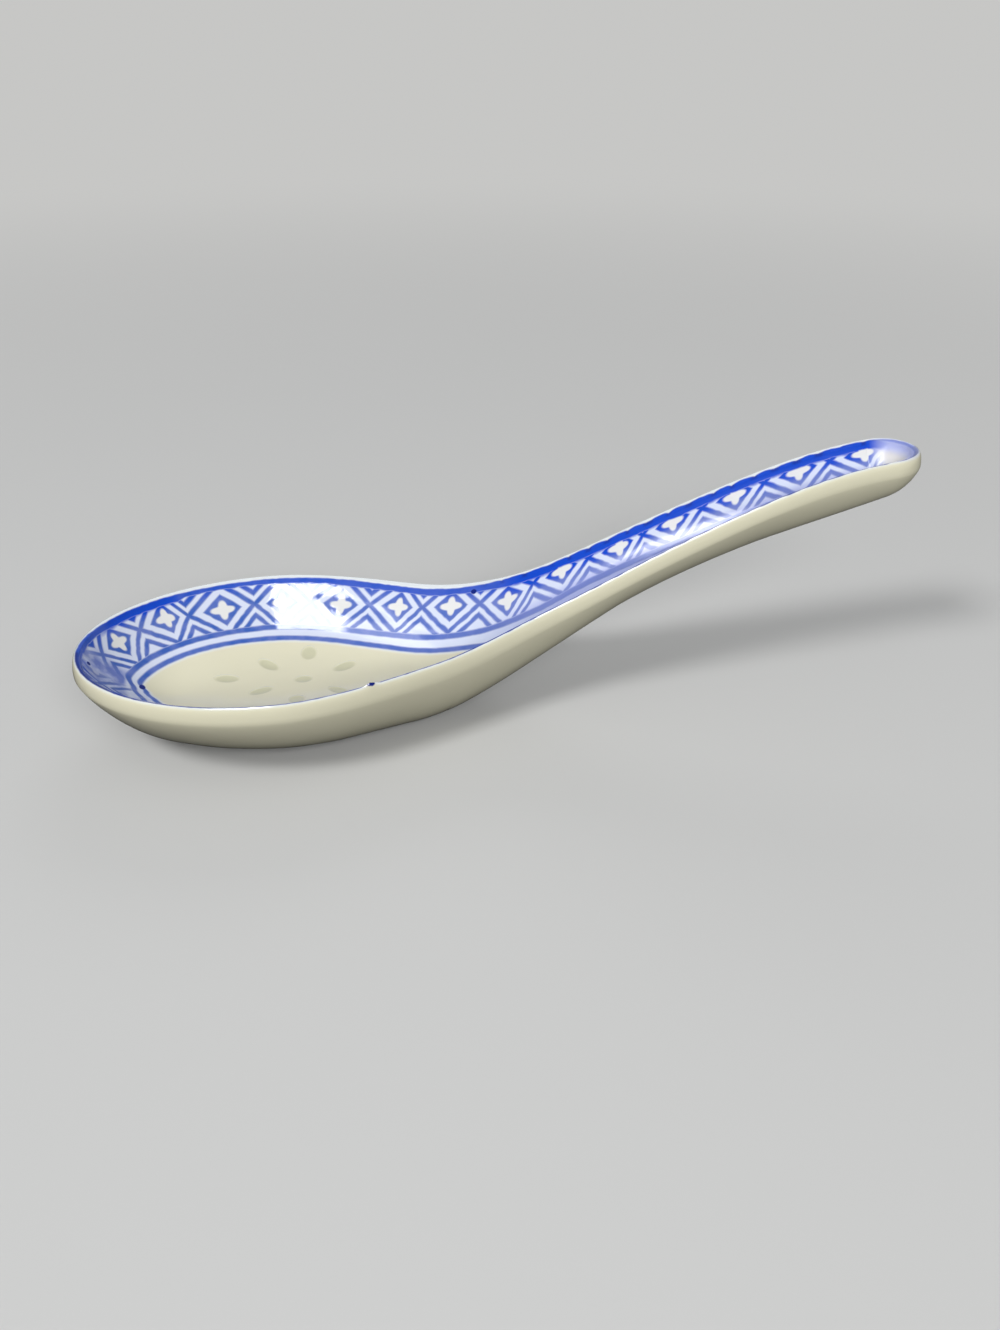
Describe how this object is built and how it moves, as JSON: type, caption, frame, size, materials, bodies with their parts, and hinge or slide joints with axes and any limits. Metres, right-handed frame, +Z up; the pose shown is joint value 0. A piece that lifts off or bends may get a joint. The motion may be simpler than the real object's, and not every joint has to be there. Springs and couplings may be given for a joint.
{
  "type": "chinese soup spoon",
  "caption": "Porcelain soup spoon with a deep boat-shaped bowl, a flat foot, a rising channelled handle, glaze windows in the floor and a blue lattice border.",
  "frame": {"origin": "middle of the flat foot under the bowl, on the plane the spoon stands on", "axes": "+X from the bowl tip towards the handle end, +Y across the spoon, +Z up"},
  "size_m": [0.135, 0.0436, 0.0388],
  "materials": {
    "white_porcelain": "glossy",
    "cobalt_print": "glossy",
    "lattice_print": "glossy",
    "clear_glaze": "glossy"
  },
  "bodies": {
    "root": {"porcelain_body": "white_porcelain", "rim_band": "cobalt_print", "lattice_border": "lattice_print", "outer_line": "cobalt_print", "inner_line": "cobalt_print", "glaze_window_1": "clear_glaze", "glaze_window_2": "clear_glaze", "glaze_window_3": "clear_glaze", "glaze_window_4": "clear_glaze", "glaze_window_5": "clear_glaze", "glaze_window_6": "clear_glaze", "glaze_window_7": "clear_glaze", "glaze_window_8": "clear_glaze"}
  },
  "joints": []
}
